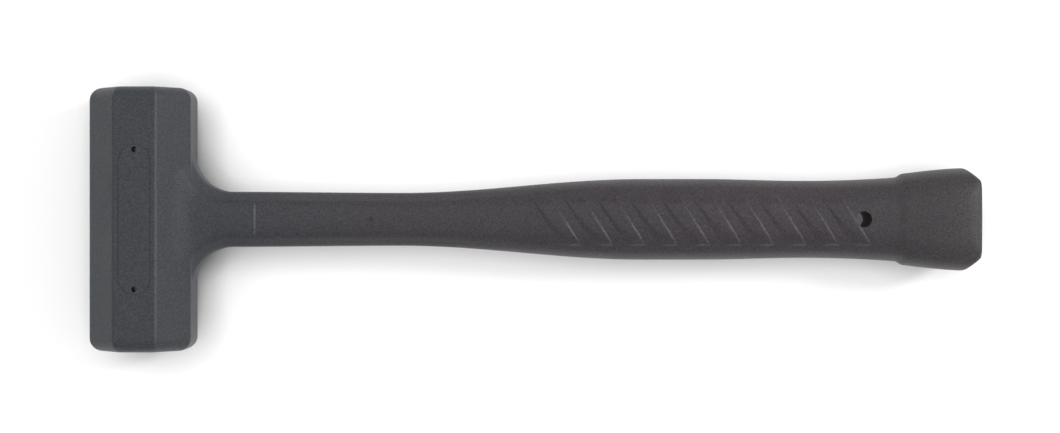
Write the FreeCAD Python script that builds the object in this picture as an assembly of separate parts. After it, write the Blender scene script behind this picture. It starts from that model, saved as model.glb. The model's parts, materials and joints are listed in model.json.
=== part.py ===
# Dead blow mallet: one urethane casting over a steel shot canister and a steel handle rod.
#
# Millimetres. Modelled about the middle of the head: +X runs down the handle to the butt, +Y runs along
# the head from one striking face to the other, +Z is up with the mallet lying on its side. The finished
# pieces are shifted so that the origin is at the bottom centre of the whole mallet.
import FreeCAD, Part  # noqa: E401  FreeCAD has to be imported before Part

import math
import os

from FreeCAD import Vector as V

# ---------------------------------------------------------------- driving dimensions
OVERALL_LENGTH = 312.7          # side of the head to the butt

# Head: a regular octagon with rounded striking ends
HEAD_LENGTH = 92.5              # striking face to striking face
HEAD_ACROSS_FLATS = 35.5
HEAD_END_RADIUS = 4.6           # rounding round each striking face
HEAD_RIDGE_RADIUS = 1.0         # rounding of the eight long ridges

# Flare of the neck into the head
FLARE_RADIUS = 14.2             # in plan, from the neck's side to the side of the head
SADDLE_RADIUS = 45.0            # from the neck's broad face up to the head's facet
SADDLE_START = 11.25            # where that rise begins, from the side of the head
SADDLE_END_TAPER = 3.0          # how far the flare draws in, each side, as it climbs the facet

# Neck
NECK_WIDTH = 18.7               # at its narrowest
NECK_ROOT_WIDTH = 19.5          # next to the flare
NECK_THICKNESS = 16.0

# Grip, with distances measured back from the butt end
GRIP_WIDTH = 28.7
GRIP_THICKNESS = 19.6
GRIP_SWELL_START = 203.0
GRIP_SWELL_FULL = 119.0
GRIP_SWELL_END = 97.0
WAIST_FROM_BUTT = 62.0
WAIST_WIDTH = 27.5
WAIST_THICKNESS = 18.8
GRIP_END_WIDTH = 29.7
GRIP_END_THICKNESS = 20.0

# Butt
BUTT_LENGTH = 29.4
BUTT_STEP_LENGTH = 3.2
BUTT_STEP_WIDTH = 32.4
BUTT_STEP_THICKNESS = 22.0
BUTT_END_WIDTH = 36.3
BUTT_END_THICKNESS = 25.0       # before the broad faces round down
BUTT_FALL = 1.5                 # how far each broad face rounds down towards the end
BUTT_FALL_LENGTH = 17.0
BUTT_CHAMFER = 4.8              # of the end's four upright corners, seen in plan
BUTT_END_BEVEL = 1.6            # of the broad faces into the end

# Bands along the four long edges, and the crown of the broad faces between them
NECK_BAND_WIDTH = 3.7
NECK_BAND_HEIGHT = 4.0
NECK_BAND_BULGE = 0.25          # how far the band stands out from a plain chamfer
NECK_CROWN = 0.8
GRIP_BAND_WIDTH = 5.0
GRIP_BAND_HEIGHT = 5.2
GRIP_BAND_BULGE = 1.0
GRIP_CROWN = 1.2

# Slanted raised pads on both broad faces of the grip
PAD_COUNT = 10
PAD_PITCH = 11.3
PAD_WIDTH = 8.3                 # along the handle
PAD_SLANT = 31.0                # degrees that a pad leans from square across the handle
PAD_HALF_SPAN = 9.5             # across the handle
PAD_HEIGHT = 0.55
PAD_CORNER_RADIUS = 3.0
LAST_PAD_FROM_BUTT = 43.7       # where the last pad ends on the handle's middle line

# Hanging hole
HANG_HOLE_RADIUS = 2.8
HANG_HOLE_FROM_BUTT = 41.5

# Marks of the mould
CORE_PIN_RADIUS = 1.0           # pins that held the canister
CORE_PIN_SPACING = 48.4
ROD_PIN_RADIUS = 0.85           # pin that held the rod
ROD_PIN_DEPTH = 0.5
ROD_PIN_FROM_HEAD = 63.2        # from the side of the head
WITNESS_RIDGE_FROM_HEAD = 22.3
WITNESS_RIDGE_WIDTH = 0.8
WITNESS_RIDGE_HEIGHT = 0.15
WITNESS_RIDGE_SPAN = 10.6
INSERT_LENGTH = 52.2            # blank name-plate insert on the head's broad flats
INSERT_WIDTH = 11.4
INSERT_LINE_WIDTH = 0.25
INSERT_LINE_DEPTH = 0.12

# Steel canister that holds the shot
CANISTER_DIAMETER = 25.4
CANISTER_WALL = 1.65
CANISTER_LENGTH = 74.0
CANISTER_LIP = 1.6              # how far the rolled ends turn in over the caps
CAP_THICKNESS = 2.0

# Shot
SHOT_DIAMETER = 4.0
SHOT_LAYERS = 14
SHOT_GAP = 0.1                  # between neighbouring balls
SHOT_CLEARANCE = 0.3            # between the balls and the canister, at its side and its caps

# Rod and the weld that joins it to the canister
ROD_DIAMETER = 8.0
ROD_TO_HOLE = 15.0              # urethane between the rod's end and the hanging hole
ROD_CHAMFER = 1.0
WELD_LEG = 2.4

# ---------------------------------------------------------------- places worked out from them
HEAD_HALF = HEAD_ACROSS_FLATS / 2
FACE_HALF = HEAD_HALF * math.tan(math.pi / 8)     # half the width of one flat of the octagon
BUTT_X = OVERALL_LENGTH - HEAD_HALF
FLARE_START_X = HEAD_HALF + FLARE_RADIUS
BUTT_STEP_X = BUTT_X - BUTT_LENGTH
HANG_HOLE_X = BUTT_X - HANG_HOLE_FROM_BUTT
CANISTER_RADIUS = CANISTER_DIAMETER / 2
BORE_RADIUS = CANISTER_RADIUS - CANISTER_WALL
CAP_OUTER_Y = CANISTER_LENGTH / 2 - CANISTER_WALL
CAP_INNER_Y = CAP_OUTER_Y - CAP_THICKNESS
ROD_END_X = HANG_HOLE_X - HANG_HOLE_RADIUS - ROD_TO_HOLE
SHOT_RADIUS = SHOT_DIAMETER / 2
SHOT_PITCH = SHOT_DIAMETER + SHOT_GAP
LAYER_PITCH = SHOT_PITCH * math.sqrt(2.0 / 3.0)
SHIFT = V(HEAD_HALF - OVERALL_LENGTH / 2, 0, HEAD_HALF)

X_AXIS, Y_AXIS, Z_AXIS = V(1, 0, 0), V(0, 1, 0), V(0, 0, 1)
REACH = 60.0                    # longer than anything that a cut has to pass through


# ---------------------------------------------------------------- helpers
def ease(x, x0, x1, a, b):
    """Smooth step from a at x0 to b at x1, level at both ends."""
    t = min(1.0, max(0.0, (x - x0) / (x1 - x0)))
    return a + (b - a) * t * t * (3 - 2 * t)


def loft(wires, ruled=False):
    return Part.makeLoft(wires, True, ruled)


def cylinder(radius, length, base, axis):
    return Part.makeCylinder(radius, length, base, axis)


def prism(outline, sweep):
    """Solid swept from a closed outline of points."""
    return Part.Face(Part.makePolygon(outline + outline[:1])).extrude(sweep)


# ---------------------------------------------------------------- cross-section of the handle
def edge_style(swell):
    """Band width, band height, band bulge and crown: 0 is the neck's style and 1 the grip's."""
    neck = (NECK_BAND_WIDTH, NECK_BAND_HEIGHT, NECK_BAND_BULGE, NECK_CROWN)
    grip = (GRIP_BAND_WIDTH, GRIP_BAND_HEIGHT, GRIP_BAND_BULGE, GRIP_CROWN)
    return [a + (b - a) * swell for a, b in zip(neck, grip)]


def handle_size(x):
    """Half width, half thickness and how far the grip has swelled at x."""
    swell = ease(x, BUTT_X - GRIP_SWELL_START, BUTT_X - GRIP_SWELL_FULL, 0.0, 1.0)
    waist = ease(x, BUTT_X - GRIP_SWELL_END, BUTT_X - WAIST_FROM_BUTT, 0.0, 1.0)
    root = ease(x, FLARE_START_X, BUTT_X - GRIP_SWELL_START, 1.0, 0.0)
    run_out = max(0.0, (x - BUTT_X + WAIST_FROM_BUTT) / (WAIST_FROM_BUTT - BUTT_LENGTH)) ** 2
    width = NECK_WIDTH + (NECK_ROOT_WIDTH - NECK_WIDTH) * root
    width += (GRIP_WIDTH - NECK_WIDTH) * swell
    width += (WAIST_WIDTH - GRIP_WIDTH) * waist + (GRIP_END_WIDTH - WAIST_WIDTH) * run_out
    thickness = NECK_THICKNESS + (GRIP_THICKNESS - NECK_THICKNESS) * swell
    thickness += (WAIST_THICKNESS - GRIP_THICKNESS) * waist
    thickness += (GRIP_END_THICKNESS - WAIST_THICKNESS) * run_out
    return width / 2, thickness / 2, swell


def section(x, half_width, half_thickness, swell):
    """Closed section square to X: crowned broad faces, upright sides, bulged bands between them."""
    band_width, band_height, bulge, crown = edge_style(swell)
    crease = V(x, half_width - band_width, half_thickness - crown)
    side = V(x, half_width, half_thickness - crown - band_height)
    chord = math.hypot(band_width, band_height)
    mid = (crease + side) * 0.5 + V(0, band_height, band_width) * (bulge / chord)

    def flip(point, y_sign, z_sign):
        return V(point.x, point.y * y_sign, point.z * z_sign)

    def arc(a, b, c):
        return Part.Arc(a, b, c).toShape()

    edges = []
    for y, z in ((1, 1), (1, -1), (-1, -1), (-1, 1)):
        here = [flip(p, y, z) for p in (crease, mid, side)]
        start, middle, end = here if y * z > 0 else here[::-1]
        edges.append(arc(start, middle, end))
        if y * z > 0:
            edges.append(Part.makeLine(end, flip(side, y, -z)))
        else:
            edges.append(arc(end, V(x, 0, z * half_thickness), flip(crease, -y, z)))
    return Part.Wire(edges)


# ---------------------------------------------------------------- outer form
def head_form():
    """Octagonal bar with rounded striking ends and rounded ridges."""
    half = HEAD_LENGTH / 2
    corner = HEAD_HALF / math.cos(math.pi / 8)
    angles = [math.pi / 8 + i * math.pi / 4 for i in range(8)]
    bar = prism([V(corner * math.cos(a), -half, corner * math.sin(a)) for a in angles], V(0, HEAD_LENGTH, 0))
    rims = [e for e in bar.Edges if abs(abs(e.CenterOfMass.y) - half) < 1e-4]
    rounded = bar.makeFillet(HEAD_END_RADIUS, rims)
    ridges = [e for e in rounded.Edges if abs(e.CenterOfMass.y) < half / 2]
    return rounded.makeFillet(HEAD_RIDGE_RADIUS, ridges)


def saddle_height(x):
    """Half thickness of the flare at x: level along the neck, then rising to the head's facet."""
    run = max(0.0, HEAD_HALF + SADDLE_START - x)
    return NECK_THICKNESS / 2 + SADDLE_RADIUS - math.sqrt(SADDLE_RADIUS**2 - run**2)


def flare_form():
    """Flare from the neck into the head, buried in the head far enough to fuse with it."""
    root_half = NECK_ROOT_WIDTH / 2
    steps = 10
    wires = []
    for i in range(steps + 1):
        angle = i * math.pi / 2 / steps
        x = FLARE_START_X - FLARE_RADIUS * math.sin(angle)
        half_width = root_half + FLARE_RADIUS * (1 - math.cos(angle))
        wires.append(section(x, half_width, saddle_height(x), 0.0))
    rim_half = root_half + FLARE_RADIUS
    buried_x = HEAD_HALF - FACE_HALF
    inner_half = rim_half - SADDLE_END_TAPER
    inside = [wires[-1], section(buried_x, inner_half, saddle_height(buried_x), 0.0)]
    return loft(wires), loft(inside, ruled=True)


def handle_stations():
    """Places along the handle where its sections are drawn, closer together where it swells."""
    stops = [FLARE_START_X, BUTT_X - GRIP_SWELL_START, BUTT_X - GRIP_SWELL_FULL]
    stops += [BUTT_X - GRIP_SWELL_END, BUTT_X - WAIST_FROM_BUTT, BUTT_STEP_X]
    counts = [3, 6, 2, 4, 4]
    stretches = zip(stops, stops[1:], counts)
    return [a + (b - a) * i / n for a, b, n in stretches for i in range(n)] + [BUTT_STEP_X]


def handle_form(raised=0.0):
    """Neck and grip, from the flare to the butt's step, with the broad faces raised by some height."""
    wires = []
    for x in handle_stations():
        half_width, half_thickness, swell = handle_size(x)
        wires.append(section(x, half_width, half_thickness + raised, swell))
    return loft(wires)


def butt_section(x):
    """Section of the butt past its step: it flares out, and its broad faces round down to the end."""
    shoulder_x = BUTT_STEP_X + BUTT_STEP_LENGTH
    share = min(1.0, (x - shoulder_x) / (BUTT_X - BUTT_CHAMFER - shoulder_x))
    bulge = 1 - (1 - share) ** 1.5
    fall = BUTT_FALL * max(0.0, 1 - (BUTT_X - x) / BUTT_FALL_LENGTH) ** 2
    width = BUTT_STEP_WIDTH + (BUTT_END_WIDTH - BUTT_STEP_WIDTH) * bulge
    thickness = BUTT_STEP_THICKNESS + (BUTT_END_THICKNESS - BUTT_STEP_THICKNESS) * bulge
    return section(x, width / 2, thickness / 2 - fall, 1.0)


def end_mould(half, cut, across, along):
    """Block that trims the butt's end: it cuts its two corners off at 45 degrees, half from the middle."""
    margin = BUTT_FALL + 2.0        # clear of the butt where it is thickest
    wide, tip = half + margin, half - cut - margin
    near, knee, far = BUTT_STEP_X - margin, BUTT_X - cut - margin, BUTT_X + margin
    corners = [(near, -wide), (knee, -wide), (far, -tip), (far, tip), (knee, wide), (near, wide)]
    return prism([V(x, 0, 0) + across * side - along * REACH for x, side in corners], along * 2 * REACH)


def butt_form():
    """Stepped, flared butt with its corners cut off and its broad faces bevelled into the end."""
    shoulder_x = BUTT_STEP_X + BUTT_STEP_LENGTH
    steps = 7
    sections = [butt_section(shoulder_x + (BUTT_X - shoulder_x) * i / steps) for i in range(steps + 1)]
    step = loft([section(BUTT_STEP_X, *handle_size(BUTT_STEP_X)), sections[0]], ruled=True)
    body = loft(sections).common(end_mould(BUTT_END_WIDTH / 2, BUTT_CHAMFER, Y_AXIS, Z_AXIS))
    end_half_thickness = BUTT_END_THICKNESS / 2 - BUTT_FALL
    return step, body.common(end_mould(end_half_thickness, BUTT_END_BEVEL, Z_AXIS, Y_AXIS))


# ---------------------------------------------------------------- steelwork
def canister_block():
    """The canister's outside as a solid, which the casting is formed round."""
    half = CANISTER_LENGTH / 2
    block = cylinder(CANISTER_RADIUS, CANISTER_LENGTH, V(0, -half, 0), Y_AXIS)
    block = block.makeFillet(CANISTER_WALL, [e for e in block.Edges if len(e.Vertexes) == 1])
    mouth_radius = BORE_RADIUS - CANISTER_LIP
    mouths = [cylinder(mouth_radius, REACH, V(0, side * CAP_OUTER_Y, 0), V(0, side, 0)) for side in (1, -1)]
    return block.cut(mouths)


def canister_tube():
    """Drawn tube with both ends rolled in over the caps."""
    bore = cylinder(BORE_RADIUS, 2 * CAP_OUTER_Y, V(0, -CAP_OUTER_Y, 0), Y_AXIS)
    return canister_block().cut(bore)


def canister_cap(side):
    """Steel disc against the rolled lip. side is 1 or -1."""
    return cylinder(BORE_RADIUS, CAP_THICKNESS, V(0, side * CAP_OUTER_Y, 0), V(0, -side, 0))


def canister_side():
    """Endless cylinder on the canister's side, for shaping what is welded to it."""
    return cylinder(CANISTER_RADIUS, 2 * REACH, V(0, -REACH, 0), Y_AXIS)


def handle_rod():
    """Plain steel rod, its foot shaped to the canister and its far end chamfered."""
    rod = cylinder(ROD_DIAMETER / 2, ROD_END_X, V(0, 0, 0), X_AXIS)
    far_rim = [e for e in rod.Edges if len(e.Vertexes) == 1 and e.CenterOfMass.x > ROD_END_X / 2]
    return rod.makeChamfer(ROD_CHAMFER, far_rim).cut(canister_side())


def rod_weld():
    """Fillet weld round the foot of the rod, following the canister's side."""
    rod_radius = ROD_DIAMETER / 2
    foot = rod_radius + WELD_LEG
    low_x = math.sqrt(CANISTER_RADIUS**2 - foot**2)
    height = CANISTER_RADIUS + WELD_LEG - low_x
    cone = Part.makeCone(foot, rod_radius, height, V(low_x, 0, 0), X_AXIS)
    return cone.cut([canister_side(), cylinder(rod_radius, REACH, V(0, 0, 0), X_AXIS)])


# ---------------------------------------------------------------- details of the casting
def raised_pads():
    """Slanted pads of both broad faces, each with one corner rounded at its foot."""
    lean = PAD_HALF_SPAN * math.tan(math.radians(PAD_SLANT))
    raised = handle_form(PAD_HEIGHT)
    last_x = BUTT_X - LAST_PAD_FROM_BUTT
    pads = []
    for side in (1, -1):
        for i in range(PAD_COUNT):
            right = last_x - i * PAD_PITCH
            left = right - PAD_WIDTH
            top_left, top_right = V(left - lean, PAD_HALF_SPAN, 0), V(right - lean, PAD_HALF_SPAN, 0)
            foot_right, foot_left = V(right + lean, -PAD_HALF_SPAN, 0), V(left + lean, -PAD_HALF_SPAN, 0)
            block = prism([top_left, top_right, foot_right, foot_left], Z_AXIS * side * REACH)
            upright = [e for e in block.Edges if abs(e.tangentAt(e.FirstParameter).z) > 0.9]
            heel = [e for e in upright if (e.CenterOfMass - foot_left).cross(Z_AXIS).Length < 1e-6]
            pads.append(block.makeFillet(PAD_CORNER_RADIUS, heel).common(raised))
    return pads


def witness_ridges():
    """Fine ridges across the neck's broad faces, where two blocks of the mould met."""
    x = HEAD_HALF + WITNESS_RIDGE_FROM_HEAD
    top = handle_size(x)[1] + WITNESS_RIDGE_HEIGHT
    base = V(x - WITNESS_RIDGE_WIDTH / 2, -WITNESS_RIDGE_SPAN / 2, -top)
    return Part.makeBox(WITNESS_RIDGE_WIDTH, WITNESS_RIDGE_SPAN, 2 * top, base)


def insert_lines():
    """Fine lines round the blank name-plate inserts on the head's two broad flats."""
    def stadium(width, length, base_z):
        run = length / 2 - width / 2
        block = Part.makeBox(width, 2 * run, INSERT_LINE_DEPTH, V(-width / 2, -run, base_z))
        ends = [cylinder(width / 2, INSERT_LINE_DEPTH, V(0, y, base_z), Z_AXIS) for y in (run, -run)]
        return block.fuse(ends)

    lines = []
    for base_z in (HEAD_HALF - INSERT_LINE_DEPTH, -HEAD_HALF):
        inner = stadium(INSERT_WIDTH - 2 * INSERT_LINE_WIDTH, INSERT_LENGTH - 2 * INSERT_LINE_WIDTH, base_z)
        lines.append(stadium(INSERT_WIDTH, INSERT_LENGTH, base_z).cut(inner))
    return lines


def pin_holes():
    """Holes left by the mould's pins: down to the canister, and shallow ones over the rod."""
    rod_pin_x = HEAD_HALF + ROD_PIN_FROM_HEAD
    rod_pin_z = handle_size(rod_pin_x)[1] - ROD_PIN_DEPTH
    holes = []
    for side in (1, -1):
        up = V(0, 0, side)
        for y in (CORE_PIN_SPACING / 2, -CORE_PIN_SPACING / 2):
            holes.append(cylinder(CORE_PIN_RADIUS, REACH, V(0, y, 0), up))
        holes.append(cylinder(ROD_PIN_RADIUS, REACH, V(rod_pin_x, 0, side * rod_pin_z), up))
    return holes


def urethane_cover(steel):
    """The whole casting, formed round the steelwork."""
    parts = [*flare_form(), handle_form(), *butt_form(), *raised_pads(), witness_ridges()]
    cover = head_form().fuse(parts).removeSplitter()
    hang_hole = cylinder(HANG_HOLE_RADIUS, 2 * REACH, V(HANG_HOLE_X, 0, -REACH), Z_AXIS)
    return cover.cut([*steel, *pin_holes(), *insert_lines(), hang_hole])


# ---------------------------------------------------------------- shot
def shot_layer(index):
    """One close-packed layer of balls. Odd layers nest in the hollows of the even ones."""
    y = (index - (SHOT_LAYERS - 1) / 2) * LAYER_PITCH
    nest = (index % 2) * SHOT_PITCH / math.sqrt(3)
    limit = BORE_RADIUS - SHOT_CLEARANCE - SHOT_RADIUS
    reach = int(limit / SHOT_PITCH) + 2
    balls = []
    for row in range(-reach, reach + 1):
        for column in range(-2 * reach, 2 * reach + 1):
            x = (column + row / 2) * SHOT_PITCH
            z = row * SHOT_PITCH * math.sqrt(3) / 2 + nest
            if math.hypot(x, z) <= limit:
                balls.append(Part.makeSphere(SHOT_RADIUS, V(x, y, z)))
    return Part.makeCompound(balls)


# ---------------------------------------------------------------- build
def build():
    rod, weld = handle_rod(), rod_weld()
    pieces = {
        "urethane_cover": urethane_cover([canister_block(), rod, weld]),
        "canister_tube": canister_tube(),
        "canister_cap_far": canister_cap(1),
        "canister_cap_near": canister_cap(-1),
        "handle_rod": rod,
        "rod_weld": weld,
    }
    for i in range(SHOT_LAYERS):
        pieces[f"shot_layer_{i + 1:02d}"] = shot_layer(i)
    return pieces


def main():
    os.makedirs("parts", exist_ok=True)
    for name, shape in build().items():
        shape.translate(SHIFT)
        shape.exportStep(f"parts/{name}.step")
        print(f"{name}: {len(shape.Solids)} solids, {shape.Volume:.0f} mm3, valid {shape.isValid()}")
    half_charge = (SHOT_LAYERS - 1) * LAYER_PITCH / 2 + SHOT_RADIUS
    print(f"shot travel each way {CAP_INNER_Y - SHOT_CLEARANCE - half_charge:.3f} mm")
    print(f"head middle at x {SHIFT.x:.3f}, hanging hole at x {HANG_HOLE_X + SHIFT.x:.3f}")
    print(f"half thickness at the hanging hole {handle_size(HANG_HOLE_X)[1]:.3f}")


main()
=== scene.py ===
"""Dead blow mallet lying on a pale bench: cast urethane over a steel shot canister and handle rod.

The casting is meshed from a formula in millimetres about the middle of the head: x runs down the
handle, y along the head, z up. The finished pieces are in metres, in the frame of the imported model.
"""

import json
import math

import bmesh
import bpy
import numpy as np
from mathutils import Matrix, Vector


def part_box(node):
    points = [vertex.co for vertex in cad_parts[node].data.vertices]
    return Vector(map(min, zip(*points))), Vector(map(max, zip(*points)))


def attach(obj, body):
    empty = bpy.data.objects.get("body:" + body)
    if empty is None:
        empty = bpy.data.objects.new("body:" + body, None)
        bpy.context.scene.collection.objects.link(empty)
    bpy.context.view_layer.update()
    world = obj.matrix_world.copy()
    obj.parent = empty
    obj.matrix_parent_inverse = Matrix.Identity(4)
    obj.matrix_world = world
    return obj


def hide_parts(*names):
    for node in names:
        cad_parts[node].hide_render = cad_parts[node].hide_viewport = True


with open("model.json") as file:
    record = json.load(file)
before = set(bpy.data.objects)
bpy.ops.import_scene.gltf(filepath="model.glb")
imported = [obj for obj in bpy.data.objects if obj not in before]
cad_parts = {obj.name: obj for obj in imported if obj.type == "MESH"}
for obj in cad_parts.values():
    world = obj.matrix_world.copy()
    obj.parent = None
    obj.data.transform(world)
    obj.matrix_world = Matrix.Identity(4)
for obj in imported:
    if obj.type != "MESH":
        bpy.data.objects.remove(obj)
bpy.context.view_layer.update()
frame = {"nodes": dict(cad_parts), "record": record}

# ---------------------------------------------------------------- sizes, in millimetres
MM = 0.001
COVER_LOW, COVER_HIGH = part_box("urethane_cover")
TUBE_LOW, TUBE_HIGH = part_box("canister_tube")
ROD_LOW, ROD_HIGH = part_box("handle_rod")
WELD_LOW, WELD_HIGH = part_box("rod_weld")
MOUNTS = {mount["name"]: mount for mount in frame["record"]["mounts"]}

HEAD_MIDDLE = [(low + high) / 2 for low, high in zip(TUBE_LOW, TUBE_HIGH)]      # metres
HEAD_HALF_LENGTH = (COVER_HIGH[1] - COVER_LOW[1]) / 2 / MM
HEAD_HALF = (HEAD_MIDDLE[0] - COVER_LOW[0]) / MM        # half the distance across its flats
BUTT_X = (COVER_HIGH[0] - HEAD_MIDDLE[0]) / MM
HOLE_X = (MOUNTS["hang_hole"]["pos_m"][0] - HEAD_MIDDLE[0]) / MM
HOLE_RADIUS = MOUNTS["hang_hole"]["dims"]["r_mm"]

HEAD_END_RADIUS = 4.6
HEAD_RIDGE_RADIUS = 1.0
FLARE_RADIUS = 14.2
SADDLE_RADIUS = 45.0            # of the neck's broad faces where they climb to the head
SADDLE_START_X = HEAD_HALF + 11.25
FLARE_RIM_HALF = 19.0           # half width of the flare where it dies into the head's facet
FLARE_RIM_X = 14.0
FLARE_RIM_SLOPE = 1.33
BURIED_X = 11.0                 # where the flare ends inside the head

NECK_HALF_WIDTH, NECK_HALF_THICKNESS = 9.35, 8.0
ROOT_HALF_WIDTH = 9.75
GRIP_HALF_WIDTH, GRIP_HALF_THICKNESS = 14.35, 9.8
WAIST_HALF_WIDTH, WAIST_HALF_THICKNESS = 13.75, 9.4
GRIP_END_HALF_WIDTH, GRIP_END_HALF_THICKNESS = 14.85, 10.0
BUTT_STEP_HALF_WIDTH, BUTT_STEP_HALF_THICKNESS = 16.2, 11.0
BUTT_HALF_WIDTH, BUTT_HALF_THICKNESS = 18.15, 12.5
BUTT_FLARE_POWER = 1.5          # how early the butt widens past its step
BUTT_CHAMFER = 4.8              # of its corners, seen from above
BUTT_FALL = 1.5                 # how far its broad faces fall towards its end
BUTT_BEVEL = 1.6                # between the fallen broad faces and its end

SWELL_START_X, SWELL_FULL_X = BUTT_X - 203.0, BUTT_X - 119.0
SWELL_END_X, WAIST_X = BUTT_X - 97.0, BUTT_X - 62.0
BUTT_STEP_X = BUTT_X - 29.4
BUTT_STEP_LENGTH = 3.2
BUTT_FALL_X = BUTT_X - 17.0

NECK_BAND, GRIP_BAND = (3.7, 4.0), (5.0, 5.2)       # width and height of the long edges' bands
NECK_CROWN, GRIP_CROWN = 0.8, 1.2                   # fall of a broad face from its middle to a band
LEAST_CREASE = 1.0                                  # a broad face is at least twice this wide

# How far two neighbouring faces blend into each other.
NECK_BLEND, GRIP_BLEND = 0.9, 3.2                   # bands
RIM_BLEND, BURIED_BLEND = 5.0, 1.0
CHAMFER_BLEND, BEVEL_BLEND, BUTT_END_BLEND = 1.0, 2.0, 0.6
FACET_BLEND, FLAT_EXTRA_BLEND = 0.6, 1.6            # handle and head, by the facets and the flats
FLAT_BLEND_START_Z, FLAT_BLEND_FULL_Z = 6.0, 9.0

MESH_STEP = 0.7

CANISTER_ROUNDING = 1.65        # of its rolled ends
WELD_FOOT_X = 5.0               # inside the canister's own space
WELD_SHOULDER = 1.0             # below the canister's skin, where the weld starts to narrow
ROD_END_CHAMFER = 1.0
CANISTER_FACETS, ROD_FACETS, HOLE_FACETS = 96, 48, 64
TOOL_REACH = 30.0               # from the middle plane to past the broad faces

PIN_RADIUS, PIN_SPACING, PIN_FACETS = 1.0, 48.4, 44
PIN_START_Z = 10.0              # inside the canister's own space
ROD_PIN_X, ROD_PIN_RADIUS, ROD_PIN_DEPTH = HEAD_HALF + 63.2, 0.85, 0.5
INSERT_LENGTH, INSERT_WIDTH = 52.2, 11.4
INSERT_LINE_WIDTH, INSERT_LINE_DEPTH = 0.32, 0.16
INSERT_CLEARANCE, INSERT_TURNS = 1.0, 20

PAD_COUNT, PAD_PITCH, PAD_WIDTH = 10, 11.3, 8.3
PAD_SLANT = math.radians(31.0)
PAD_HALF_SPAN, PAD_HEIGHT = 9.5, 0.55
PAD_CORNER, PAD_WALL = 3.0, 0.9
PAD_FOOT_DEPTH = 0.15           # of a pad's outline below the casting's skin
PAD_LEFT_FADE = 0.2             # steepness left in a pad's head-side wall at its foot
PAD_FADE_START = -0.6           # where that wall starts to steepen, in half spans
PAD_TOP_EASE = 0.25             # steepness of a pad's top wall beside its other walls
PAD_BODY = 1.2                  # wall of a pad, mostly inside the casting
PAD_COLUMNS, PAD_ROWS = 27, 57  # points of a pad's mesh
LAST_PAD_X = BUTT_X - 43.7
DROP_START, DROP_LENGTH = 0.1, 0.2      # metres: pads drop on to the skin from above it

WITNESS_X = HEAD_HALF + 22.3
WITNESS_WIDTH, WITNESS_SPAN, WITNESS_HEIGHT = 1.1, 12.0, 0.3
WITNESS_ROWS, WITNESS_FACETS = 13, 8
WITNESS_TIP = 0.02              # square of what is left of the ridge at its tips

CASTING_CREASE, PAD_CREASE, WITNESS_CREASE = 52.0, 60.0, 50.0       # degrees; steeper stays sharp


# ---------------------------------------------------------------- formula of the casting
def ease(x, x0, x1):
    """0 before x0, 1 past x1, and smooth between."""
    t = np.clip((x - x0) / (x1 - x0), 0.0, 1.0)
    return t * t * (3 - 2 * t)


def soft_max(a, b, k):
    """The larger of two distances, rounded where they are within k of each other."""
    return np.maximum(a, b) + np.maximum(k - np.abs(a - b), 0.0) ** 2 / (4 * k)


def soft_min(a, b, k):
    return -soft_max(-a, -b, k)


def along_handle(x, root, neck, grip, waist, grip_end, step, butt):
    """A half width or half thickness down the handle, from its values at the named places."""
    shoulder_x = BUTT_STEP_X + BUTT_STEP_LENGTH
    past_waist = np.clip((x - WAIST_X) / (BUTT_STEP_X - WAIST_X), 0, 1)
    past_step = np.clip((x - shoulder_x) / (BUTT_X - BUTT_CHAMFER - shoulder_x), 0, 1)
    value = neck + (root - neck) * (1 - ease(x, HEAD_HALF + FLARE_RADIUS, SWELL_START_X))
    value = value + (grip - neck) * ease(x, SWELL_START_X, SWELL_FULL_X)
    value = value + (waist - grip) * ease(x, SWELL_END_X, WAIST_X)
    value = value + (grip_end - waist) * past_waist ** 2
    value = value + (step - grip_end) * ease(x, BUTT_STEP_X, shoulder_x)
    return value + (butt - step) * (1 - (1 - past_step) ** BUTT_FLARE_POWER)


def head_distance(x, y, z):
    """Distance outside the octagonal head, with its rounded ridges and ends."""
    angle = np.arctan2(z, x)
    sector = math.pi / 4
    folded = angle - sector * np.round(angle / sector)
    radius = np.hypot(x, z)
    out, side = radius * np.cos(folded), np.abs(radius * np.sin(folded))
    core = HEAD_HALF - HEAD_RIDGE_RADIUS
    past = np.maximum(side - core * math.tan(math.pi / 8), 0.0)
    ring = np.where(out > core, np.hypot(out - core, past), out - core) - HEAD_RIDGE_RADIUS
    a, b = ring + HEAD_END_RADIUS, np.abs(y) - HEAD_HALF_LENGTH + HEAD_END_RADIUS
    corner = np.hypot(np.maximum(a, 0), np.maximum(b, 0))
    return np.minimum(np.maximum(a, b), 0) + corner - HEAD_END_RADIUS


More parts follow.
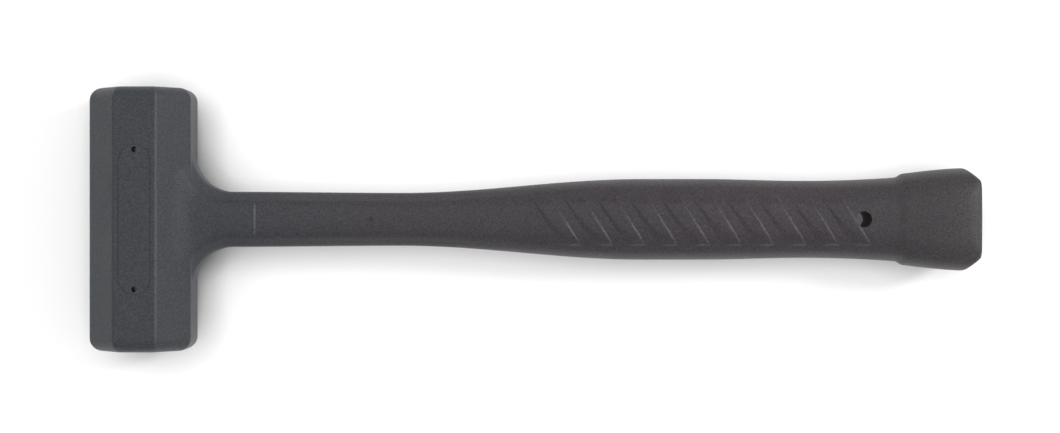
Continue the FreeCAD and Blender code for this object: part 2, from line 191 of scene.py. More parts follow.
def handle_distance(x, y, z):
    """Distance outside the flare, neck, grip and butt."""
    across, up = np.abs(y), np.abs(z)
    half_width = along_handle(
        x, ROOT_HALF_WIDTH, NECK_HALF_WIDTH, GRIP_HALF_WIDTH, WAIST_HALF_WIDTH,
        GRIP_END_HALF_WIDTH, BUTT_STEP_HALF_WIDTH, BUTT_HALF_WIDTH)
    half_thickness = along_handle(
        x, NECK_HALF_THICKNESS, NECK_HALF_THICKNESS, GRIP_HALF_THICKNESS, WAIST_HALF_THICKNESS,
        GRIP_END_HALF_THICKNESS, BUTT_STEP_HALF_THICKNESS, BUTT_HALF_THICKNESS)
    run = np.clip(SADDLE_START_X - x, 0.0, SADDLE_RADIUS)
    half_thickness = half_thickness + SADDLE_RADIUS - np.sqrt(SADDLE_RADIUS**2 - run**2)
    past_fall = np.clip((x - BUTT_FALL_X) / (BUTT_X - BUTT_FALL_X), 0.0, 1.0)
    half_thickness = half_thickness - BUTT_FALL * past_fall**2

    swell = ease(x, SWELL_START_X, SWELL_FULL_X)
    band_width = NECK_BAND[0] + (GRIP_BAND[0] - NECK_BAND[0]) * swell
    band_height = NECK_BAND[1] + (GRIP_BAND[1] - NECK_BAND[1]) * swell
    crown = NECK_CROWN + (GRIP_CROWN - NECK_CROWN) * swell
    band_blend = NECK_BLEND + (GRIP_BLEND - NECK_BLEND) * swell

    # Sides: a round flare up to the head, then the handle's own width.
    centre_x, centre_y = HEAD_HALF + FLARE_RADIUS, ROOT_HALF_WIDTH + FLARE_RADIUS
    fillet = FLARE_RADIUS - np.hypot(x - centre_x, np.minimum(across - centre_y, 0.0))
    rim = across - FLARE_RIM_HALF - FLARE_RIM_SLOPE * (x - FLARE_RIM_X)
    flare = soft_max(fillet, rim, RIM_BLEND)
    side = np.where(x < centre_x, flare, across - half_width)

    # Broad faces and the bands beside them.
    reach = np.clip(centre_x - x, 0.0, FLARE_RADIUS)
    flare_half = centre_y - np.sqrt(FLARE_RADIUS**2 - reach**2)
    local_half = np.where(x < centre_x, flare_half, half_width)
    crease = np.maximum(local_half - band_width, LEAST_CREASE)
    top = up - half_thickness + crown * np.minimum(across / crease, 1.0) ** 2
    chord = np.hypot(band_width, band_height)
    rise = up - half_thickness + crown
    band = ((side + band_width) * band_height + rise * band_width) / chord
    body = soft_max(soft_max(top, band, band_blend), side, band_blend)

    # The butt's cut corners, bevel and end, and the flare's end inside the head.
    slope = math.sqrt(0.5)
    chamfer = x - BUTT_X + BUTT_CHAMFER
    body = soft_max(body, (across - BUTT_HALF_WIDTH + chamfer) * slope, CHAMFER_BLEND)
    end_half = BUTT_HALF_THICKNESS - BUTT_FALL
    bevel = (up - end_half + x - BUTT_X + BUTT_BEVEL) * slope
    body = soft_max(body, bevel, BEVEL_BLEND)
    body = soft_max(body, x - BUTT_X, BUTT_END_BLEND)
    return soft_max(body, BURIED_X - x, BURIED_BLEND)


def casting_distance(x, y, z):
    """Head and handle together, with a fillet where the flare climbs the head's facets."""
    nearly_flat = ease(np.abs(z), FLAT_BLEND_START_Z, FLAT_BLEND_FULL_Z)
    blend = FACET_BLEND + FLAT_EXTRA_BLEND * nearly_flat
    return soft_min(head_distance(x, y, z), handle_distance(x, y, z), blend)


# ---------------------------------------------------------------- mesh from a formula
def to_metres(points):
    """Millimetres about the head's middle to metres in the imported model's frame."""
    return np.asarray(points) * MM + np.array(HEAD_MIDDLE)


def new_piece(name, data):
    piece = bpy.data.objects.new(name, data)
    bpy.context.scene.collection.objects.link(piece)
    return piece


def settle(points, distance, rounds=5, nudge=0.02, least_slope=0.2, longest_move=0.5):
    """Moves points onto the surface where the distance is nought."""
    for _ in range(rounds):
        here = distance(*points.T)
        slope = np.empty_like(points)
        for axis in range(3):
            step = np.zeros(3)
            step[axis] = nudge
            rise = distance(*(points + step).T) - distance(*(points - step).T)
            slope[:, axis] = rise / (2 * nudge)
        length = np.maximum((slope**2).sum(1), least_slope)
        points = points - slope * np.clip(here / length, -longest_move, longest_move)[:, None]
    return points


def surface_mesh(name, distance, low, high, step):
    """Closed quad mesh of the surface of a distance formula."""
    axes = [np.arange(a - 2 * step, b + 3 * step, step) for a, b in zip(low, high)]
    grid = distance(*np.meshgrid(*axes, indexing="ij"))
    inside = grid < 0
    cells = tuple(n - 1 for n in grid.shape)
    total = np.zeros(cells + (3,))
    count = np.zeros(cells)

    def window(array, corner):
        return array[tuple(slice(c, c + n) for c, n in zip(corner, cells))]

    # One point in each cell that the surface crosses, at the mean of where it crosses the edges.
    corners = [(i, j, k) for i in (0, 1) for j in (0, 1) for k in (0, 1)]
    for a in corners:
        for axis in range(3):
            if a[axis]:
                continue
            b = tuple(c + (n == axis) for n, c in enumerate(a))
            at_a, at_b = window(grid, a), window(grid, b)
            crosses = window(inside, a) != window(inside, b)
            share = np.where(crosses, at_a / np.where(crosses, at_a - at_b, 1.0), 0.0)
            count += crosses
            for n in range(3):
                total[..., n] += crosses * (a[n] + (share if n == axis else 0.0))
    used = count > 0
    index = np.full(cells, -1)
    index[used] = np.arange(used.sum())
    base = np.argwhere(used)
    origin = np.array([axis[0] for axis in axes])
    points = origin + step * (base + total[used] / count[used][:, None])

    # One quad round each edge of the grid that the surface crosses.
    faces = []
    for axis in range(3):
        others = [n for n in range(3) if n != axis]
        low_side = np.take(inside, range(grid.shape[axis] - 1), axis)
        high_side = np.take(inside, range(1, grid.shape[axis]), axis)
        for sign, place in ((1, low_side & ~high_side), (-1, high_side & ~low_side)):
            at = np.argwhere(place)
            ring = []
            for u, v in ((1, 1), (0, 1), (0, 0), (1, 0)):
                cell = at.copy()
                cell[:, others[0]] -= u
                cell[:, others[1]] -= v
                ring.append(index[tuple(cell.T)])
            quad = np.stack(ring, 1)
            outward = (sign > 0) == (axis != 1)
            faces.append(quad if outward else quad[:, ::-1])

    mesh = bpy.data.meshes.new(name)
    settled = to_metres(settle(points, distance))
    mesh.from_pydata(settled.tolist(), [], np.concatenate(faces).tolist())
    mesh.validate()
    return new_piece(name, mesh)


def smooth(piece, degrees):
    """Shades a piece smooth, and leaves edges sharper than that angle sharp."""
    piece.data.shade_smooth()
    piece.data.set_sharp_from_angle(angle=math.radians(degrees))


def bake_modifiers(piece):
    """Replaces a piece's mesh by what its modifiers make of it, and removes them."""
    graph = bpy.context.evaluated_depsgraph_get()
    made = bpy.data.meshes.new_from_object(piece.evaluated_get(graph))
    piece.modifiers.clear()
    piece.data = made


# ---------------------------------------------------------------- tools that cut the casting
def lathe(parts, profile, axis, segments, centre=(0, 0, 0)):
    """Adds a closed turned solid to parts. profile lists (distance along axis, radius)."""
    points, faces = parts
    start = len(points)
    u, v = [n for n in range(3) if n != axis]
    for along, radius in profile:
        for i in range(segments):
            angle = 2 * math.pi * i / segments
            point = list(centre)
            point[axis] += along
            point[u] += radius * math.cos(angle)
            point[v] += radius * math.sin(angle)
            points.append(point)
    rings = len(profile)
    for ring in range(rings - 1):
        for i in range(segments):
            after = (i + 1) % segments
            a, b = start + ring * segments, start + (ring + 1) * segments
            faces.append([a + i, a + after, b + after, b + i])
    faces.append([start + i for i in range(segments)][::-1])
    faces.append([start + (rings - 1) * segments + i for i in range(segments)])


def piece_from(name, parts):
    """A piece from its points and faces, with the faces turned outwards."""
    points, faces = parts
    mesh = bpy.data.meshes.new(name)
    mesh.from_pydata(to_metres(points).tolist(), [], faces)
    shape = bmesh.new()
    shape.from_mesh(mesh)
    bmesh.ops.recalc_face_normals(shape, faces=shape.faces)
    shape.to_mesh(mesh)
    shape.free()
    return new_piece(name, mesh)


def steel_space():
    """The room that canister, rod and weld take up inside the casting."""
    radius = (TUBE_HIGH[2] - TUBE_LOW[2]) / 2 / MM
    half = (TUBE_HIGH[1] - TUBE_LOW[1]) / 2 / MM
    rolled, straight = radius - CANISTER_ROUNDING, half - CANISTER_ROUNDING
    parts = ([], [])
    profile = [(-half, rolled), (-straight, radius), (straight, radius), (half, rolled)]
    lathe(parts, profile, axis=1, segments=CANISTER_FACETS)
    canister = piece_from("canister_space", parts)

    rod_radius = (ROD_HIGH[2] - ROD_LOW[2]) / 2 / MM
    rod_end = (ROD_HIGH[0] - HEAD_MIDDLE[0]) / MM
    weld_top = (WELD_HIGH[0] - HEAD_MIDDLE[0]) / MM
    weld_radius = (WELD_HIGH[2] - WELD_LOW[2]) / 2 / MM
    parts = ([], [])
    profile = [(WELD_FOOT_X, weld_radius), (radius - WELD_SHOULDER, weld_radius),
               (weld_top, rod_radius), (rod_end - ROD_END_CHAMFER, rod_radius),
               (rod_end, rod_radius - ROD_END_CHAMFER)]
    lathe(parts, profile, axis=0, segments=ROD_FACETS)
    return [canister, piece_from("rod_space", parts)]


def pin_tools():
    """Pins of the mould: two per side down to the canister, one shallow one over the rod."""
    parts = ([], [])

    def pin(side, foot, radius, x, y):
        ends = sorted((side * foot, side * TOOL_REACH))
        profile = [(end, radius) for end in ends]
        lathe(parts, profile, axis=2, segments=PIN_FACETS, centre=(x, y, 0))

    for side in (1, -1):
        for y in (PIN_SPACING / 2, -PIN_SPACING / 2):
            pin(side, PIN_START_Z, PIN_RADIUS, 0, y)
        pin(side, NECK_HALF_THICKNESS - ROD_PIN_DEPTH, ROD_PIN_RADIUS, ROD_PIN_X, 0)
    return piece_from("mould_pins", parts)


def hole_tool():
    parts = ([], [])
    profile = [(-TOOL_REACH, HOLE_RADIUS), (TOOL_REACH, HOLE_RADIUS)]
    lathe(parts, profile, axis=2, segments=HOLE_FACETS, centre=(HOLE_X, 0, 0))
    return piece_from("hanging_hole", parts)


def insert_tool(side):
    """Thin stadium ring that leaves the outline of the blank name-plate insert."""
    points, faces = [], []
    levels = (HEAD_HALF - INSERT_LINE_DEPTH, HEAD_HALF + INSERT_CLEARANCE)
    run = INSERT_LENGTH / 2 - INSERT_WIDTH / 2
    outline = []
    for i in range(2 * INSERT_TURNS + 2):
        half = 0 if i <= INSERT_TURNS else 1
        angle = math.pi * ((i - half * (INSERT_TURNS + 1)) / INSERT_TURNS + half)
        outline.append((angle, run if half == 0 else -run))
    for radius in (INSERT_WIDTH / 2, INSERT_WIDTH / 2 - INSERT_LINE_WIDTH):
        for level in levels:
            for angle, y in outline:
                x = radius * math.cos(angle)
                points.append((x, y + radius * math.sin(angle), side * level))
    n = len(outline)
    for i in range(n):
        j = (i + 1) % n
        for a, b in ((0, 1), (1, 3), (3, 2), (2, 0)):
            faces.append([a * n + i, a * n + j, b * n + j, b * n + i])
    return piece_from("insert_outline", (points, faces))


def cut(piece, tools):
    """Cuts the tools out of a piece, and removes them."""
    for tool in tools:
        modifier = piece.modifiers.new("cut", "BOOLEAN")
        modifier.operation = "DIFFERENCE"
        modifier.solver = "EXACT"
        modifier.object = tool
    bake_modifiers(piece)
    for tool in tools:
        bpy.data.objects.remove(tool)


# ---------------------------------------------------------------- node helpers
def wire(tree, source, target):
    tree.links.new(source, target)


def feed(tree, socket, value):
    """Links a socket to another one, or sets its plain value."""
    if isinstance(value, bpy.types.NodeSocket):
        wire(tree, value, socket)
    else:
        socket.default_value = value


def node(tree, kind, inputs=(), **settings):
    """A node with its settings, and its inputs fed as (name or number, value)."""
    made = tree.nodes.new(kind)
    for name, value in settings.items():
        setattr(made, name, value)
    for name, value in inputs:
        feed(tree, made.inputs[name], value)
    return made


def maths(tree, operation, *values):
    return node(tree, "ShaderNodeMath", enumerate(values), operation=operation).outputs[0]


def remap(tree, value, start, end, low, high, **settings):
    """Maps start to end onto low to high."""
    inputs = (("Value", value), ("From Min", start), ("From Max", end), ("To Min", low),
              ("To Max", high))
    return node(tree, "ShaderNodeMapRange", inputs, **settings).outputs[0]


def vector(tree, x, y, z):
    return node(tree, "ShaderNodeCombineXYZ", ((0, x), (1, y), (2, z))).outputs[0]


def split(tree, whole):
    return node(tree, "ShaderNodeSeparateXYZ", ((0, whole),)).outputs


def object_place(tree):
    return node(tree, "ShaderNodeTexCoord").outputs["Object"]


def colour_ramp(tree, value, stops):
    """A colour that follows a value through (position, colour) stops."""
    ramp = node(tree, "ShaderNodeValToRGB", ((0, value),))
    while len(ramp.color_ramp.elements) < len(stops):
        ramp.color_ramp.elements.new(0.5)
    for element, (position, colour) in zip(ramp.color_ramp.elements, stops):
        element.position = position
        element.color = (*colour, 1.0)
    return ramp.outputs[0]


def grey_ramp(tree, value, stops):
    return colour_ramp(tree, value, [(position, (grey,) * 3) for position, grey in stops])


def new_group(name, kind, inputs, outputs):
    """A node group with sockets as (name, kind), the sockets it is given and those it feeds."""
    tree = bpy.data.node_groups.new(name, kind)
    for in_out, sockets in (("INPUT", inputs), ("OUTPUT", outputs)):
        for socket, socket_kind in sockets:
            tree.interface.new_socket(
                socket, in_out=in_out, socket_type="NodeSocket" + socket_kind)
    return tree, node(tree, "NodeGroupInput").outputs, node(tree, "NodeGroupOutput").inputs


# ---------------------------------------------------------------- finger pads of the grip
PAD_SIZES = {
    "Pitch": PAD_PITCH * MM,
    "Width": PAD_WIDTH * MM,
    "Half Span": PAD_HALF_SPAN * MM,
    "Slant": PAD_SLANT,
    "Height": PAD_HEIGHT * MM,
    "Wall": PAD_WALL * MM,
    "Corner": PAD_CORNER * MM,
    "Left Fade": PAD_LEFT_FADE,
    "Top Ease": PAD_TOP_EASE,
    "Last Edge": HEAD_MIDDLE[0] + LAST_PAD_X * MM,
    "Middle Height": HEAD_MIDDLE[2],
}


def pad_tree():
    """Row of slanted raised pads laid on a casting, on its upper side and mirrored below."""
    inputs = [("Geometry", "Geometry")] + [(name, "Float") for name in PAD_SIZES]
    inputs += [("Count", "Int"), ("Material", "Material")]
    tree, given, result = new_group(
        "finger_pads", "GeometryNodeTree", inputs, [("Geometry", "Geometry")])

    def calc(operation, *values):
        return maths(tree, operation, *values)

    # One pad as a flat sheet, and each point's distance in from its edges.
    half_span, corner = given["Half Span"], given["Corner"]
    sheet = node(tree, "GeometryNodeMeshGrid", (
        ("Vertices X", PAD_COLUMNS), ("Vertices Y", PAD_ROWS), ("Size X", given["Width"]),
        ("Size Y", calc("MULTIPLY", half_span, 2.0))))
    position = node(tree, "GeometryNodeInputPosition").outputs[0]
    x, y, _ = split(tree, position)
    half_width = calc("MULTIPLY", given["Width"], 0.5)
    cos_slant = calc("COSINE", given["Slant"])
    right = calc("MULTIPLY", calc("SUBTRACT", half_width, x), cos_slant)
    left = calc("MULTIPLY", calc("ADD", x, half_width), cos_slant)
    foot = calc("ADD", half_span, y)
    top = calc("MULTIPLY", calc("SUBTRACT", half_span, y), given["Top Ease"])
    fade_start = calc("MULTIPLY", half_span, PAD_FADE_START)
    fade = remap(tree, y, fade_start, half_span, given["Left Fade"], 1.0)
    sides = calc("MINIMUM", right, calc("MULTIPLY", left, fade))
    square = calc("MINIMUM", sides, calc("MINIMUM", top, foot))
    short_x = calc("MAXIMUM", calc("SUBTRACT", corner, left), 0.0)
    short_y = calc("MAXIMUM", calc("SUBTRACT", corner, foot), 0.0)
    squares = calc("ADD", calc("MULTIPLY", short_x, short_x), calc("MULTIPLY", short_y, short_y))
    rounded = calc("SUBTRACT", corner, calc("SQRT", squares))
    inset = calc("MINIMUM", square, rounded)

    # Its walls, its slant, and the row of them.
    rise = remap(tree, inset, 0.0, given["Wall"], -PAD_FOOT_DEPTH * MM, given["Height"])
    lean = calc("MULTIPLY", y, calc("TANGENT", given["Slant"]))
    shaped = node(tree, "GeometryNodeSetPosition", (
        ("Geometry", sheet.outputs["Mesh"]),
        ("Position", vector(tree, calc("SUBTRACT", x, lean), y, rise))))
    first = calc("SUBTRACT", given["Last Edge"], half_width)
    line = node(tree, "GeometryNodeMeshLine", (
        ("Count", given["Count"]),
        ("Start Location", vector(tree, first, 0.0, 0.0)),
        ("Offset", vector(tree, calc("MULTIPLY", given["Pitch"], -1.0), 0.0, 0.0))), mode="OFFSET")
    copies = node(tree, "GeometryNodeInstanceOnPoints", (
        ("Points", line.outputs[0]), ("Instance", shaped.outputs[0])))
    row = node(tree, "GeometryNodeRealizeInstances", ((0, copies.outputs[0]),))

    # The row laid on the casting's skin, and its mirror image below.
    lift = node(tree, "ShaderNodeVectorMath", (
        (0, position), (1, (0, 0, DROP_START))), operation="ADD")
    ray = node(tree, "GeometryNodeRaycast", (
        ("Target Geometry", given["Geometry"]), ("Source Position", lift.outputs[0]),
        ("Ray Direction", (0, 0, -1)), ("Ray Length", DROP_LENGTH)))
    skin_height = split(tree, ray.outputs["Hit Position"])[2]
    laid = node(tree, "GeometryNodeSetPosition", (
        ("Geometry", row.outputs[0]), ("Offset", vector(tree, 0.0, 0.0, skin_height))))
    twice_middle = calc("MULTIPLY", given["Middle Height"], 2.0)
    below = node(tree, "GeometryNodeTransform", (
        ("Geometry", laid.outputs[0]), ("Scale", (1, 1, -1)),
        ("Translation", vector(tree, 0.0, 0.0, twice_middle))))
    turned = node(tree, "GeometryNodeFlipFaces", ((0, below.outputs[0]),))
    both = node(tree, "GeometryNodeJoinGeometry", ((0, turned.outputs[0]), (0, laid.outputs[0])))
    finish = node(tree, "GeometryNodeSetMaterial", (
        ("Geometry", both.outputs[0]), ("Material", given["Material"])))
    wire(tree, finish.outputs[0], result["Geometry"])
    return tree


def set_input(modifier, name, value):
    items = modifier.node_group.interface.items_tree
    socket = next(i for i in items if i.name == name and i.in_out == "INPUT")
    modifier[socket.identifier] = value


def finger_pads(skin, material):
    """The grip's pads as one piece, laid on the casting's uncut skin."""
    pads = new_piece("finger_pads", skin)
    rows = pads.modifiers.new("rows", "NODES")
    rows.node_group = pad_tree()
    for name, value in PAD_SIZES.items():
        set_input(rows, name, value)
    set_input(rows, "Count", PAD_COUNT)
    set_input(rows, "Material", material)
    body = pads.modifiers.new("body", "SOLIDIFY")
    body.thickness = PAD_BODY * MM
    body.offset = -1.0
    bake_modifiers(pads)
    cut(pads, [hole_tool()])
    smooth(pads, PAD_CREASE)
    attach(pads, "mallet")


def witness_ridges(material):
    """Fine rounded ridges across the neck's broad faces, where two blocks of the mould met."""
    points, faces = [], []
    rows, facets = WITNESS_ROWS, WITNESS_FACETS
    for side in (1, -1):
        start = len(points)
        for i in range(rows):
            y = WITNESS_SPAN * (i / (rows - 1) - 0.5)
            crown = NECK_CROWN * (y / (ROOT_HALF_WIDTH - NECK_BAND[0])) ** 2
            fade = math.sqrt(max(WITNESS_TIP, 1 - (2 * y / WITNESS_SPAN) ** 4))
            for j in range(facets):
                angle = 2 * math.pi * j / facets
                x = WITNESS_X + WITNESS_WIDTH / 2 * fade * math.cos(angle)
                z = NECK_HALF_THICKNESS - crown + WITNESS_HEIGHT * fade * math.sin(angle)
                points.append((x, y, side * z))
        for i in range(rows - 1):
            for j in range(facets):
                a, b = start + i * facets, start + (i + 1) * facets
                k = (j + 1) % facets
                faces.append([a + j, a + k, b + k, b + j])
        faces.append([start + j for j in range(facets)])
        faces.append([start + (rows - 1) * facets + j for j in range(facets)])
    ridges = piece_from("witness_ridges", (points, faces))
    # Its material is the paler copy of the urethane: a painted highlight along the ridges.
    ridges.data.materials.append(material)
    smooth(ridges, WITNESS_CREASE)
    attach(ridges, "mallet")


# ---------------------------------------------------------------- materials
GRAIN_LAYERS = (("Fine", 4.0, 0.65), ("Broad", 2.0, 0.5))       # name, detail, roughness
GRAIN_LOW, GRAIN_HIGH = 0.3, 0.7        # the grain mostly keeps between these

URETHANE_TONES = (              # along the mallet, from the head to the butt
    (0.0, (0.027, 0.032, 0.038)), (0.13, (0.028, 0.031, 0.038)), (0.35, (0.035, 0.030, 0.036)),
    (0.80, (0.037, 0.030, 0.036)), (1.0, (0.035, 0.032, 0.034)))
URETHANE_GRAIN = (1700.0, 55.0)         # fine and broad, per metre
URETHANE_SPECKLE = (0.42, 1.58)         # darkest and palest of the fine grain
URETHANE_CLOUDS = (0.95, 1.05)          # darkest and palest of the broad grain
URETHANE_SPECULAR = 0.38
URETHANE_BUMP, STEEL_BUMP = 0.00016, 0.0001         # metres
HIGHLIGHT_AND_POLISH_HALF_WIDTH = (0.0001, 0.0006)       # metres from the ridge's crest, from full to none, of its painted highlight and polish
HIGHLIGHT_AND_POLISH_DEPTH = 1.0                         # millimetres under the head's flats it reaches
PAINTED_HIGHLIGHT_TINT, RUB_POLISH = 0.7, 0.1         # painted highlight that lightens the crest, and how much smoother its rubbed polish is

STEEL_CLOUD_SCALE = 90.0                # per metre
STEEL_DARKEST = 0.75                    # of its colour
STEEL_SPECKLE = (0.9, 1.1)
STEEL_SMOOTHER, STEEL_ROUGHER = 0.06, 0.08          # spread of its roughness


def grain_group():
    """Fine and broad mottling on object coordinates, as masks from 0 to 1."""
    tree, given, result = new_group(
        "surface_grain", "ShaderNodeTree",
        [(name + " Scale", "Float") for name, _, _ in GRAIN_LAYERS],
        [(name, "Float") for name, _, _ in GRAIN_LAYERS])
    place = object_place(tree)
    for name, detail, roughness in GRAIN_LAYERS:
        noise = node(tree, "ShaderNodeTexNoise", (
            ("Vector", place), ("Scale", given[name + " Scale"]), ("Detail", detail),
            ("Roughness", roughness)))
        wire(tree, noise.outputs[0], result[name])
    return tree


def tone_group():
    """Urethane's colour down the mallet: cool at the head, warmer on the grip, then neutral."""
    tree, given, result = new_group(
        "urethane_tone", "ShaderNodeTree",
        [("Head End", "Float"), ("Butt End", "Float")], [("Tone", "Color")])
    x = split(tree, object_place(tree))[0]
    along = remap(tree, x, given["Head End"], given["Butt End"], 0.0, 1.0)
    wire(tree, colour_ramp(tree, along, URETHANE_TONES), result["Tone"])
    return tree


GRAIN = grain_group()
TONE = tone_group()


def spread(tree, grain, low, high):
    """Maps the grain's usual values onto low to high."""
    return remap(tree, grain, GRAIN_LOW, GRAIN_HIGH, low, high)


def blank_material(name, fine, broad):
    """A material with its shader, and the fine and broad grain at those scales per metre."""
    material = bpy.data.materials.new(name)
    material.use_nodes = True
    tree = material.node_tree
    grain = node(tree, "ShaderNodeGroup", node_tree=GRAIN)
    grain.inputs["Fine Scale"].default_value = fine
    grain.inputs["Broad Scale"].default_value = broad
    shader = tree.nodes["Principled BSDF"]
    return material, tree, shader, grain.outputs["Fine"], grain.outputs["Broad"]


def add_bump(tree, shader, height, strength, distance):
    bump = node(tree, "ShaderNodeBump", (
        ("Strength", strength), ("Distance", distance), ("Height", height)))
    wire(tree, bump.outputs[0], shader.inputs["Normal"])


def tinted(tree, colour, amount):
    """Multiplies a colour by a changing amount."""
    return node(tree, "ShaderNodeVectorMath", (
        (0, colour), ("Scale", amount)), operation="SCALE").outputs[0]


def ridge_highlight_and_polish(tree):
    """Mask of the handle-side ridges of the head's flats: along their crest a painted highlight
    lightens the colour, and a rubbed polish lowers the roughness.
    """
    place = split(tree, object_place(tree))
    ridge_x = HEAD_MIDDLE[0] + HEAD_HALF * math.tan(math.pi / 8) * MM
    aside = maths(tree, "ABSOLUTE", maths(tree, "SUBTRACT", place[0], ridge_x))
    away = maths(tree, "ABSOLUTE", maths(tree, "SUBTRACT", place[2], HEAD_MIDDLE[2]))
    crest = remap(tree, aside, *HIGHLIGHT_AND_POLISH_HALF_WIDTH, 1.0, 0.0, interpolation_type="SMOOTHSTEP")
    by_the_flats = maths(tree, "GREATER_THAN", away, (HEAD_HALF - HIGHLIGHT_AND_POLISH_DEPTH) * MM)
    return maths(tree, "MULTIPLY", crest, by_the_flats)


def urethane(name, smoothest, roughest, tint=1.0, ridges=False):
    """Charcoal urethane with its grain. A tint above 1 paints a highlight by making it paler all
    over. Where asked for, ridges adds the head's ridge mask: a painted highlight with a rubbed
    polish.
    """
    material, tree, shader, fine, broad = blank_material(name, *URETHANE_GRAIN)
    tone = node(tree, "ShaderNodeGroup", node_tree=TONE)
    tone.inputs["Head End"].default_value = COVER_LOW[0]
    tone.inputs["Butt End"].default_value = COVER_HIGH[0]
    # A tint above 1 makes the whole surface paler: a painted highlight, used on the witness ridges.
    clouds = spread(tree, broad, *[amount * tint for amount in URETHANE_CLOUDS])
    amount = maths(tree, "MULTIPLY", spread(tree, fine, *URETHANE_SPECKLE), clouds)
    roughness = spread(tree, broad, smoothest, roughest)
    if ridges:
        rubbed = ridge_highlight_and_polish(tree)
        # Painted highlight: the crest of the handle-side ridge is made lighter in colour.
        painted_highlight = maths(tree, "ADD", maths(tree, "MULTIPLY", rubbed, PAINTED_HIGHLIGHT_TINT), 1.0)
        smoother = maths(tree, "MULTIPLY", rubbed, RUB_POLISH)
        amount = maths(tree, "MULTIPLY", amount, painted_highlight)
        roughness = maths(tree, "SUBTRACT", roughness, smoother)
    wire(tree, tinted(tree, tone.outputs["Tone"], amount), shader.inputs["Base Color"])
    wire(tree, roughness, shader.inputs["Roughness"])
    shader.inputs["Specular IOR Level"].default_value = URETHANE_SPECULAR
    add_bump(tree, shader, fine, 1.0, URETHANE_BUMP)
    return material


def steel(name, colour, roughness, grain_scale, bump_strength):
    """Bare steel with mottled colour and polish."""
    material, tree, shader, fine, broad = blank_material(name, grain_scale, STEEL_CLOUD_SCALE)
    darkest = [channel * STEEL_DARKEST for channel in colour]
    clouds = colour_ramp(tree, broad, ((0.0, darkest), (1.0, colour)))
    speckle = spread(tree, fine, *STEEL_SPECKLE)
    polish = spread(tree, fine, roughness - STEEL_SMOOTHER, roughness + STEEL_ROUGHER)
    wire(tree, tinted(tree, clouds, speckle), shader.inputs["Base Color"])
    wire(tree, polish, shader.inputs["Roughness"])
    shader.inputs["Metallic"].default_value = 1.0
    add_bump(tree, shader, fine, bump_strength, STEEL_BUMP)
    return material


def set_material(piece, material):
    piece.data.materials.clear()
    piece.data.materials.append(material)


# ---------------------------------------------------------------- bench and studio, in metres
BENCH_HALF = 3.0
BENCH_GRAIN = (300.0, 8.0)      # fine and broad, per metre
BENCH_PALENESS = ((0.0, 0.86), (1.0, 0.88))
BENCH_ROUGHNESS, BENCH_SPECULAR = 0.9, 0.1
CONTACT_REACH = 0.03            # how far above the bench a piece darkens its colour with painted shadow
CONTACT_SHADE = ((0.18, 0.16), (0.5, 0.9), (0.7, 1.0))     # painted shadow: its paleness against open sky
BENCH_GLOW = 0.27               # painted light: a glow of the bench's own, though it is no lamp
GLOW_REACH = 0.014              # how far above the bench a piece dims that painted glow into painted shadow
GLOW_SHADE = ((0.45, 0.0), (1.0, 1.0))

SKY_GLOW = ((0.0, 0.75), (0.3, 0.59), (0.65, 0.56), (0.9, 0.88), (1.0, 1.0))   # horizon to zenith
LIGHTS = (                      # name, place, width, watts
    ("key_light", (-0.8, 0.45, 1.25), 1.6, 6.0),
    ("side_light", (1.4, 0.0, 0.6), 1.2, 2.0),
    ("edge_light", (1.35, 0.42, 1.0), 0.4, 12.0))

CAMERA_PLACE = (-0.0019, 0.001, HEAD_MIDDLE[2] + 0.6927)
SENSOR_WIDTH, FOCAL_LENGTH = 36.0, 66.4     # millimetres


def open_sky(tree, reach):
    """How much of the sky a point sees past what stands within reach."""
    return node(tree, "ShaderNodeAmbientOcclusion", (("Distance", reach),)).outputs["AO"]


def bench():
    """Plain pale bench, with painted shadow in its colour where the mallet stands close over it."""
    mesh = bpy.data.meshes.new("bench")
    corners = [(-1, -1), (1, -1), (1, 1), (-1, 1)]
    points = [(x * BENCH_HALF, y * BENCH_HALF, 0) for x, y in corners]
    mesh.from_pydata(points, [], [(0, 1, 2, 3)])
    floor = new_piece("bench", mesh)
    material, tree, shader, _, broad = blank_material("pale_bench", *BENCH_GRAIN)
    # Painted shadow: the bench's colour darkens where little open sky reaches it.
    painted_contact_shadow = grey_ramp(tree, open_sky(tree, CONTACT_REACH), CONTACT_SHADE)
    pale = grey_ramp(tree, broad, BENCH_PALENESS)
    shaded = node(tree, "ShaderNodeVectorMath", ((0, pale), (1, painted_contact_shadow)), operation="MULTIPLY")
    wire(tree, shaded.outputs[0], shader.inputs["Base Color"])
    shader.inputs["Roughness"].default_value = BENCH_ROUGHNESS
    shader.inputs["Specular IOR Level"].default_value = BENCH_SPECULAR
    # Painted glow of the bench, dimmed to painted shadow where the mallet stands close over it.
    glow = grey_ramp(tree, open_sky(tree, GLOW_REACH), GLOW_SHADE)
    wire(tree, glow, shader.inputs["Emission Color"])
    shader.inputs["Emission Strength"].default_value = BENCH_GLOW
    mesh.materials.append(material)


def soft_light(name, place, width, watts):
    light = bpy.data.lights.new(name, "AREA")
    light.shape = "DISK"
    light.size = width
    light.energy = watts
    lamp = new_piece(name, light)
    lamp.location = place
    lamp.rotation_euler = (-lamp.location).to_track_quat("-Z", "Y").to_euler()


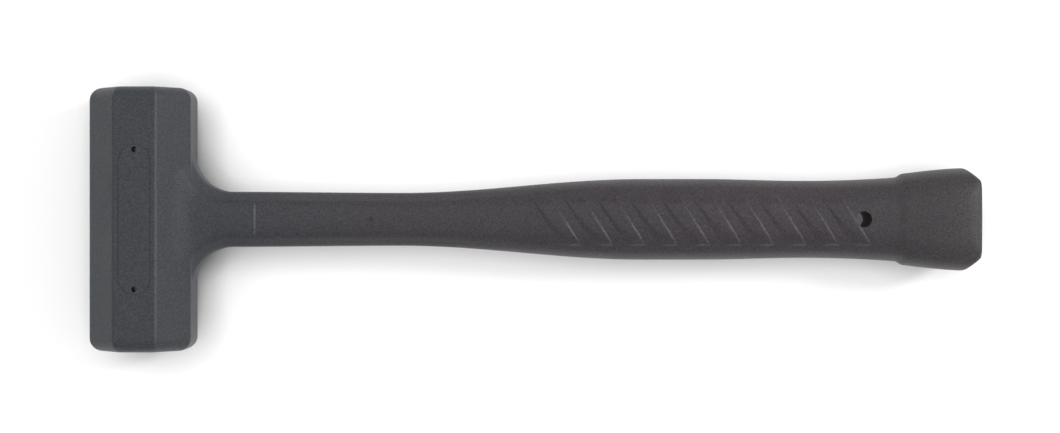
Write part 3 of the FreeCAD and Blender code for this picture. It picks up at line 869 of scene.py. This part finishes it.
def studio():
    """Soft sky and lights."""
    world = bpy.data.worlds.new("studio")
    world.use_nodes = True
    tree = world.node_tree
    height = split(tree, node(tree, "ShaderNodeTexCoord").outputs["Generated"])[2]
    sky = grey_ramp(tree, height, SKY_GLOW)
    wire(tree, sky, tree.nodes["Background"].inputs["Color"])
    bpy.context.scene.world = world
    bpy.context.scene.view_settings.view_transform = "Standard"
    for light in LIGHTS:
        soft_light(*light)


def camera():
    """Camera looking straight down on the mallet."""
    data = bpy.data.cameras.new("camera")
    data.sensor_width = SENSOR_WIDTH
    data.lens = FOCAL_LENGTH
    view = new_piece("camera", data)
    view.location = CAMERA_PLACE
    bpy.context.scene.camera = view


# ---------------------------------------------------------------- making the mallet
low_corner = (-HEAD_HALF, -HEAD_HALF_LENGTH, -HEAD_HALF)
high_corner = (BUTT_X, HEAD_HALF_LENGTH, HEAD_HALF)
casting = surface_mesh("urethane_casting", casting_distance, low_corner, high_corner, MESH_STEP)
uncut_skin = casting.data.copy()
cut(casting, steel_space() + [pin_tools(), hole_tool(), insert_tool(1), insert_tool(-1)])
smooth(casting, CASTING_CREASE)
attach(casting, "mallet")
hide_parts("urethane_cover")

# Urethanes: name, smoothest, roughest. Steels: name, colour, roughness, grain per metre, bump.
# The cast urethane carries the painted highlight on the head's handle-side ridges.
cast_urethane = urethane("cast_urethane", 0.44, 0.52, ridges=True)
hand_rubbed_urethane = urethane("hand_rubbed_urethane", 0.28, 0.34)
# A copy of the urethane made paler all over, a painted highlight for the witness ridges, with a
# smoother roughness.
painted_highlight_urethane = urethane("painted_highlight_urethane", 0.30, 0.36, tint=1.9)
FINISHES = {
    "canister_steel": steel("drawn_canister_steel", (0.50, 0.50, 0.51), 0.42, 900.0, 0.15),
    "rod_steel": steel("cold_drawn_rod_steel", (0.44, 0.44, 0.45), 0.36, 700.0, 0.12),
    "weld_steel": steel("weld_bead_steel", (0.26, 0.24, 0.23), 0.55, 1400.0, 0.5),
    "shot_steel": steel("dull_shot_steel", (0.46, 0.46, 0.48), 0.38, 1100.0, 0.15),
    "urethane": cast_urethane,
}

set_material(casting, cast_urethane)
finger_pads(uncut_skin, hand_rubbed_urethane)
witness_ridges(painted_highlight_urethane)
for entry in frame["record"]["subparts"]:
    set_material(frame["nodes"][entry["node"]], FINISHES[entry["material_slot"]])

bench()
studio()
camera()
